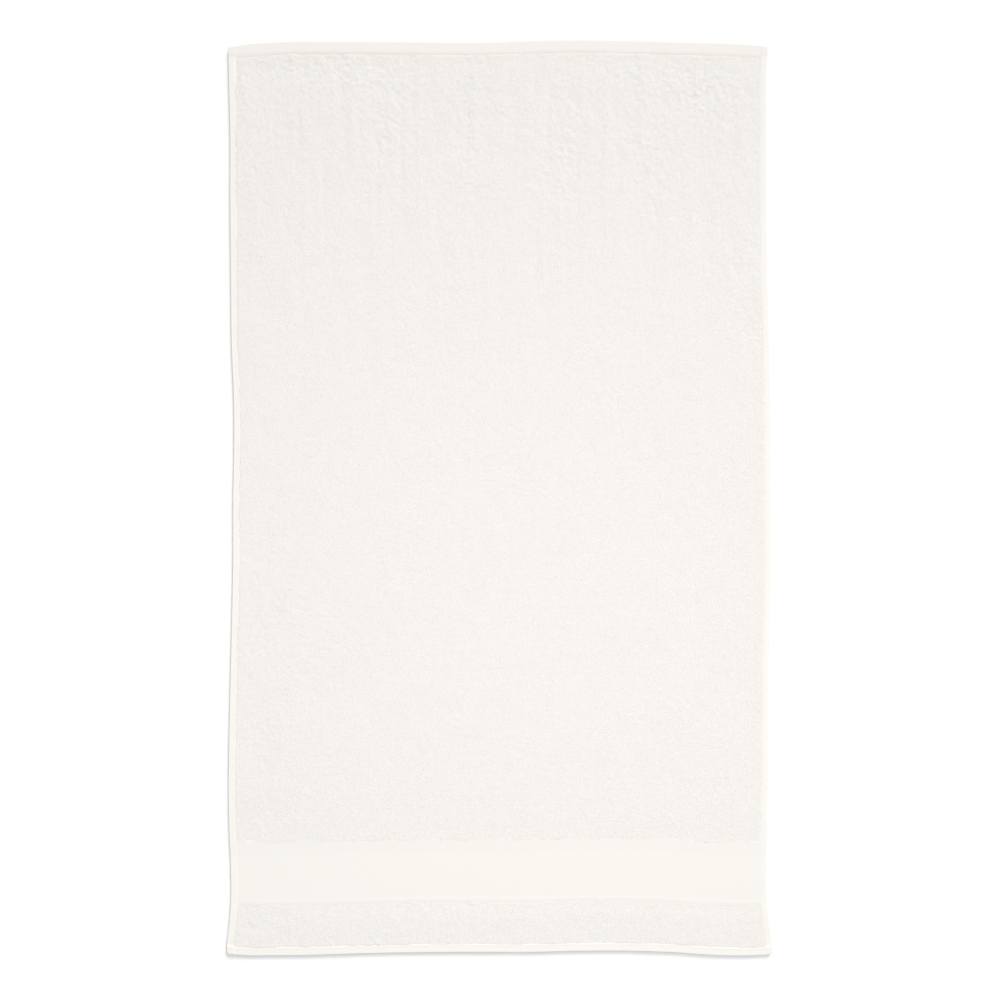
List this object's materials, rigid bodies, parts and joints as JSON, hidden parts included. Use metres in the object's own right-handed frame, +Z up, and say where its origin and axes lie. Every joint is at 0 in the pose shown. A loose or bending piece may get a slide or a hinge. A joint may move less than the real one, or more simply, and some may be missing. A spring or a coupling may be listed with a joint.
{
  "type": "bath towel",
  "caption": "Bath towel of looped cotton terry, laid flat: plain pile, a smooth flat-woven band across the foot end and narrow sewn hems on every edge.",
  "frame": {"origin": "middle of the flat under side that rests on the surface, at the centre of the bounding box", "axes": "+Z is up from the surface towards the face of the cloth, +Y runs along the length from the foot end with the flat-woven band to the head end, +X is to the right seen from above"},
  "size_m": [0.7188, 1.207, 0.005],
  "materials": {
    "cream_terry": "matt looped cotton pile in undyed cream, with a smoother flat-woven band and sewn hems"
  },
  "bodies": {
    "root": {"towel": "cream_terry"}
  },
  "joints": []
}
